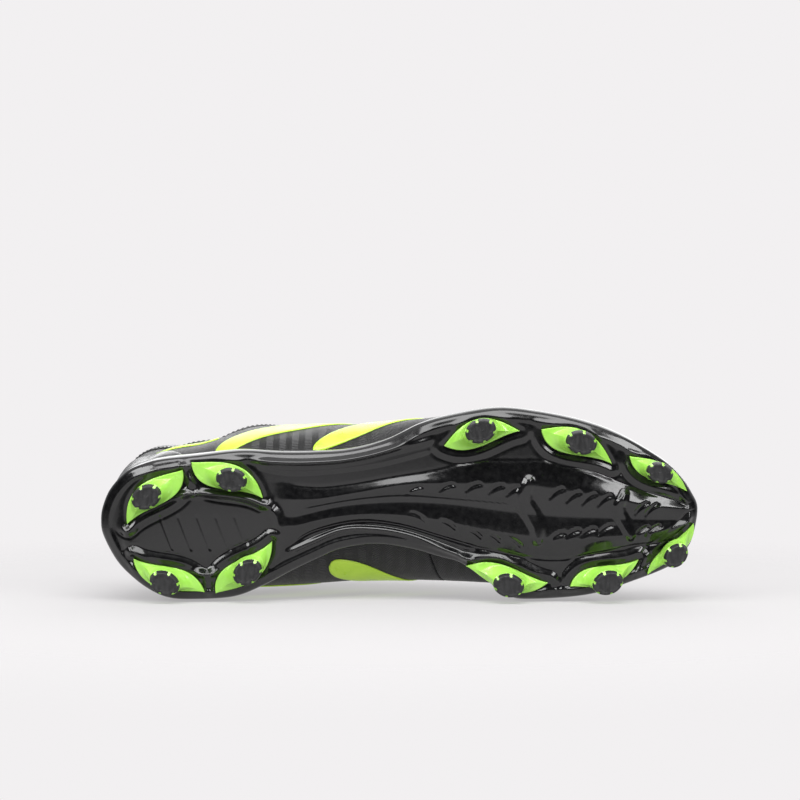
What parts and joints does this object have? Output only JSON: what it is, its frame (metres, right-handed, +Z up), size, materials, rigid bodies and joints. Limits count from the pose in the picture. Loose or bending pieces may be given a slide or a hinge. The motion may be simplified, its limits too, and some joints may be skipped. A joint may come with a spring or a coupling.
{
  "type": "soccer cleat",
  "caption": "Right-foot firm-ground soccer cleat: moulded plate with leaf-shaped stud pads and notched tips, closed synthetic upper, padded collar and folding tongue.",
  "frame": {"origin": "centre of the shoe's footprint box on the ground plane that the stud tips stand on", "axes": "+X from heel to toe, +Y to the inner (medial) side, +Z up"},
  "size_m": [0.2882, 0.093, 0.1187],
  "materials": {
    "plate_black": "glossy moulded thermoplastic with a faint flow texture",
    "pad_green": "glossy translucent-looking lime green moulded plastic",
    "tip_black": "matte fine-grained moulded plastic",
    "upper_black": "thin coated synthetic with a fine herringbone emboss",
    "eyestay_black": "smooth coated reinforcement with stitched edges",
    "foxing_black": "smooth coated heel panel",
    "band_green": "printed fluorescent yellow-green film",
    "collar_lining": "soft brushed lining over foam",
    "lining": "fine mesh lining",
    "stiffener": "plain thermoplastic sheet",
    "board": "non-woven strobel board",
    "sockliner": "textile-covered foam foot bed",
    "lace": "flat woven lace",
    "tongue_black": "padded synthetic with a soft lining"
  },
  "bodies": {
    "shoe": {"outsole_plate": "plate_black", "vamp": "upper_black", "quarter_lateral": "upper_black", "quarter_medial": "upper_black", "heel_counter": "stiffener", "toe_puff": "stiffener", "collar_foam": "collar_lining", "vamp_lining": "lining", "quarter_lining_lateral": "lining", "quarter_lining_medial": "lining", "strobel_board": "board", "sockliner": "sockliner", "eyestay_lateral": "eyestay_black", "eyestay_medial": "eyestay_black", "lace": "lace", "collar_band": "band_green", "heel_foxing": "foxing_black", "side_bands_lateral": "band_green", "side_bands_medial": "band_green", "tongue_base": "tongue_black", "stud_pad_heel_lateral_rear": "pad_green", "stud_pad_heel_lateral_front": "pad_green", "stud_pad_heel_medial_rear": "pad_green", "stud_pad_heel_medial_front": "pad_green", "stud_pad_ball_lateral_rear": "pad_green", "stud_pad_ball_lateral_mid": "pad_green", "stud_pad_toe_lateral": "pad_green", "stud_pad_ball_medial_rear": "pad_green", "stud_pad_ball_medial_mid": "pad_green", "stud_pad_toe_medial": "pad_green", "stud_tip_heel_lateral_rear": "tip_black", "stud_tip_heel_lateral_front": "tip_black", "stud_tip_heel_medial_rear": "tip_black", "stud_tip_heel_medial_front": "tip_black", "stud_tip_ball_lateral_rear": "tip_black", "stud_tip_ball_lateral_mid": "tip_black", "stud_tip_toe_lateral": "tip_black", "stud_tip_ball_medial_rear": "tip_black", "stud_tip_ball_medial_mid": "tip_black", "stud_tip_toe_medial": "tip_black"},
    "tongue_flap": {"tongue_top": "tongue_black"}
  },
  "joints": [
    {"name": "tongue_fold", "type": "hinge", "parent": "shoe", "child": "tongue_flap", "pos_m": [-0.05156, 0, 0.11114], "axis": [0, 1, 0], "range_deg": [-5, 45], "stiffness_Nm_per_rad": 0.02}
  ]
}
